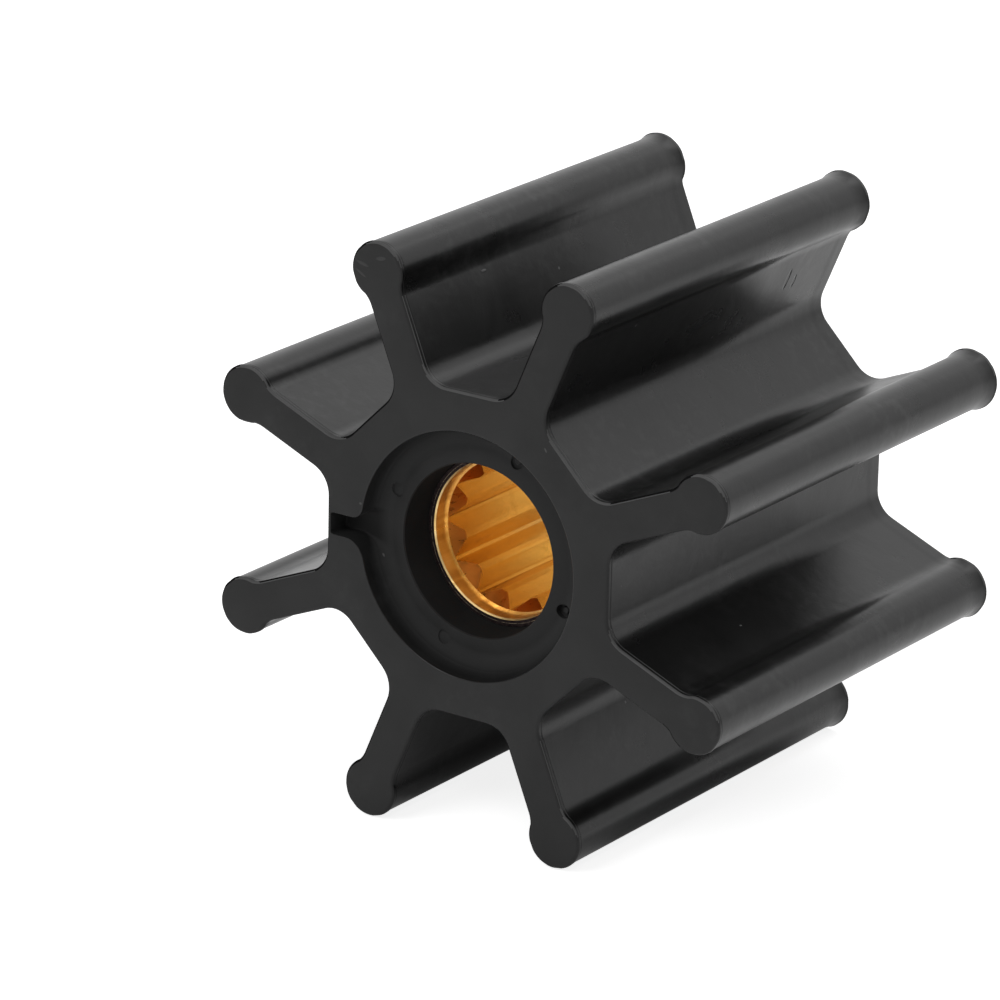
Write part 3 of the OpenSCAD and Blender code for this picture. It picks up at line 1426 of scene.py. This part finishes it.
RUBBER: dict[Region, RubberFinish] = {
    Region.SIDE: RubberFinish(
        "vane_rubber", tone=0.006, roughness=0.3, specular=0.38, grain=0.25, cloud=0.25,
        dust=0.05, scuff=0.022,
        marks=(
            Mark((11.0, 15.4, 21.1), (0.3, 0.35, 1.4), -22, 0.004, -0.12),
            Mark((10.7, 17.0, 20.5), (0.3, 0.3, 0.9), -22, 0.004, -0.12),
            Mark((20.27, 2.09, 10.61), (0.13, 0.13, 0.13), tone=0.25),
            Mark((22.03, -8.74, -6.91), (0.12, 0.2, 0.12)),
            Mark((-8.04, -11.45, 24.77), (0.15, 0.5, 0.15), tone=0.12),
        ),
    ),
    Region.FACE: RubberFinish(
        "face_rubber", tone=0.021, roughness=0.62, specular=0.32, cloud=0.12, dust=0.03,
        scuff=0.01,
        marks=(
            Mark((-12.85, -25.15, 2.83), (0.2, 0.2, 0.15), tone=0.08),
            Mark((-13.0, -25.15, 27.8), (0.9, 0.3, 0.2), -15, 0.05),
            Mark((-10.8, -25.15, 28.7), (0.7, 0.3, 0.25), 10, 0.05),
            Mark((-13.2, -25.15, 26.8), (0.8, 0.3, 0.15), -30, 0.05),
            Mark((11.63, -25.15, 5.55), (0.15, 0.2, 0.15), tone=0.12),
            Mark((9.3, -25.15, 13.07), (0.12, 0.2, 0.3), 30, 0.08),
        ),
    ),
    Region.RECESS: RubberFinish(
        "recess_rubber", tone=0.031, roughness=0.65, specular=0.2, dust=0.03,
        # Painted shade, darker towards the recess's wall.
        painted_shade_share=0.55,
        marks=(
            Mark((-11.64, -22.6, -3.0), (0.12, 0.4, 0.28), 25, 0.09),
            Mark((-3.85, -22.6, 11.92), (0.15, 0.4, 0.15), tone=0.09),
        ),
    ),
    Region.BORE: RubberFinish("bore_rubber", tone=0.019, roughness=0.75, specular=0.08),
    # Darker and paler copies of the face rubber: painted shade and painted highlight on the front
    # edge.
    Region.SHADE_PAINTED_EDGE: RubberFinish("painted_shade_edge_rubber", tone=0.004, roughness=0.8, specular=0.06),
    Region.HIGHLIGHT_PAINTED_EDGE: RubberFinish("painted_highlight_edge_rubber", tone=0.085, roughness=0.55, specular=0.4),
}
BRASS: dict[Cut, BrassFinish] = {
    Cut.BORE: BrassFinish("cut_brass", (0.92, 0.66, 0.28), (0.62, 0.34, 0.08), 0.2, (0.6, 0.85)),
    Cut.END: BrassFinish(
        "end_brass", (0.12, 0.09, 0.085), (0.03, 0.021, 0.023), 0.6, (0.35, 0.65),
        # A painted glint along one turned ring of the end face.
        stain_scale=2600.0, glint_ring_radii=(8.6 * MM,),
    ),
    # Darker, redder brass on the lead cones: painted shade, as they mirror the dim front of the
    # room.
    Cut.LEAD: BrassFinish("shaded_lead_brass", (1.0, 0.35, 0.055), (0.85, 0.26, 0.04), 0.32, (0.55, 0.8)),
    Cut.PILOT: BrassFinish(
        "pilot_brass", (0.98, 0.72, 0.34), (0.78, 0.48, 0.17), 0.36, (0.5, 0.75),
        stain_scale=1500.0,
    ),
    Cut.RIM: BrassFinish(
        "rim_brass", (0.93, 0.69, 0.33), (0.76, 0.5, 0.18), 0.36, (0.45, 0.75),
        mouth=(30 * MM, 31 * MM),
    ),
}


def hand_in(piece: bpy.types.Object, node: str) -> None:
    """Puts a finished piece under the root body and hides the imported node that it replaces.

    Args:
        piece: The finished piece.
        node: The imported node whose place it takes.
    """
    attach(piece, "root")
    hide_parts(node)
    LOG.info("%s: %d faces", piece.name, len(piece.data.polygons))


def main() -> None:
    """Builds the impeller and its studio in order."""
    wheel_low, wheel_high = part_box(WHEEL_NODE)
    bush_low, bush_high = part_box(BUSH_NODE)
    wheel = VaneWheel(length=wheel_high.y - wheel_low.y, finishes=RUBBER)
    hand_in(wheel.build(), WHEEL_NODE)
    bush = SplineBush(length=bush_high.y - bush_low.y,
                      outer_r=(bush_high.x - bush_low.x) / 2, finishes=BRASS)
    hand_in(bush.build(), BUSH_NODE)
    Studio(floor_z=wheel_low.z).build()
    bpy.context.scene.view_settings.view_transform = "Standard"


if __name__ == "__main__":
    logging.basicConfig(level=logging.INFO)
    main()
